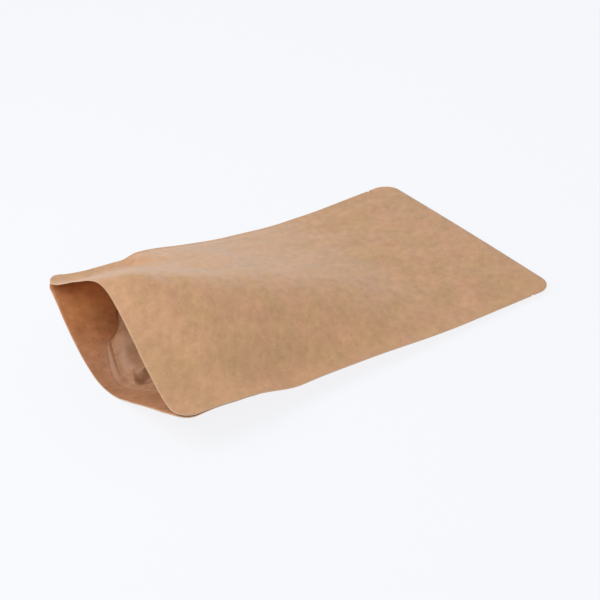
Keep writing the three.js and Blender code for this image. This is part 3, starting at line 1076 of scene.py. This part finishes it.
# %% Floor
FLOOR_HALF = 3.0
FLOOR_GLOW = 0.87
FLOOR_GLOW_COLOUR = (0.955, 0.97, 1.0)
FLOOR_COLOUR = (0.1, 0.101, 0.105)
FLOOR_ROUGHNESS = 0.9
signs = ((-1, -1), (1, -1), (1, 1), (-1, 1))
floor_mesh = bpy.data.meshes.new("floor")
floor_mesh.from_pydata([(x * FLOOR_HALF, y * FLOOR_HALF, 0) for x, y in signs], [], [(0, 1, 2, 3)])
floor = bpy.data.objects.new("floor", floor_mesh)
bpy.context.scene.collection.objects.link(floor)
floor_material = bpy.data.materials.new("pale_floor")
floor_material.use_nodes = True
floor_shader = floor_material.node_tree.nodes["Principled BSDF"]
floor_shader.inputs["Base Color"].default_value = (*FLOOR_COLOUR, 1)
floor_shader.inputs["Roughness"].default_value = FLOOR_ROUGHNESS
floor_shader.inputs["Specular IOR Level"].default_value = 0.0
floor_shader.inputs["Emission Color"].default_value = (*FLOOR_GLOW_COLOUR, 1)
floor_shader.inputs["Emission Strength"].default_value = FLOOR_GLOW
floor_mesh.materials.append(floor_material)
print("floor", 2 * FLOOR_HALF, "m wide")

# %% [markdown]
# ## The light
#
# White surroundings give most of the light, as in a shooting tent. One soft lamp stands
# fairly near, above the open end, so the light falls off towards the shut end. A long low
# softbox behind the pouch gives the paper its pale gleam where we see it flat. The standard
# view transform leaves whites white, as in the photograph.

# %% Light
SURROUNDINGS = 0.7
LAMPS = {
    # name: place, width and height, and watts
    "top_lamp": ((-0.37, 0.1, 0.46), (0.4, 0.4), 1.6),
    "low_softbox": ((0.48, 1.0, 0.14), (1.2, 0.24), 1.0),
}
world = bpy.data.worlds.new("studio")
bpy.context.scene.world = world
world.use_nodes = True
world.node_tree.nodes["Background"].inputs["Color"].default_value = (1, 1, 1, 1)
world.node_tree.nodes["Background"].inputs["Strength"].default_value = SURROUNDINGS
for name, (place, size, watts) in LAMPS.items():
    lamp_data = bpy.data.lights.new(name, "AREA")
    lamp_data.shape = "RECTANGLE"
    lamp_data.size, lamp_data.size_y = size
    lamp_data.energy = watts
    lamp = bpy.data.objects.new(name, lamp_data)
    bpy.context.scene.collection.objects.link(lamp)
    lamp.location = place
    lamp.rotation_euler = (-Vector(place)).to_track_quat("-Z", "Y").to_euler()
bpy.context.scene.view_settings.view_transform = "Standard"
print(len(LAMPS), "lamps")

# %% [markdown]
# ## The camera
#
# The camera repeats the photograph's view. It turns about the pouch by an azimuth, looks down
# by an elevation and is rolled a little, and it aims at a point on the floor near the
# middle of the pouch. Its lens is written in pixels of a 600-pixel picture, which is how such
# a view is measured, and turned into Blender's millimetres.

# %% Camera
AZIMUTH = math.radians(-33.156)
ELEVATION = math.radians(33.442)
ROLL = math.radians(-3.557)
DISTANCE = 0.8
FOCAL_PIXELS = 1659.85
PICTURE_PIXELS = 600
SENSOR_MM = 36.0
AIM_ALONG = 110.729  # in mm from the bottom edge
AIM_ACROSS = 6.141  # and from the middle
look_at = Vector(((AIM_ALONG + shift[0]) * MM, (AIM_ACROSS + shift[1]) * MM, 0))
flat = math.cos(ELEVATION)
towards_camera = Vector((math.sin(AZIMUTH) * flat, -math.cos(AZIMUTH) * flat, math.sin(ELEVATION)))
level = Vector((math.cos(AZIMUTH), math.sin(AZIMUTH), 0))
upright = towards_camera.cross(level)
right = level * math.cos(ROLL) + upright * math.sin(ROLL)
up = upright * math.cos(ROLL) - level * math.sin(ROLL)
camera_data = bpy.data.cameras.new("camera")
camera_data.sensor_width = SENSOR_MM
camera_data.lens = FOCAL_PIXELS / PICTURE_PIXELS * SENSOR_MM
camera = bpy.data.objects.new("camera", camera_data)
bpy.context.scene.collection.objects.link(camera)
turned = Matrix((right, up, towards_camera)).transposed().to_4x4()
camera.matrix_world = Matrix.Translation(look_at + towards_camera * DISTANCE) @ turned
bpy.context.scene.camera = camera
print("lens", round(camera_data.lens, 1), "mm")
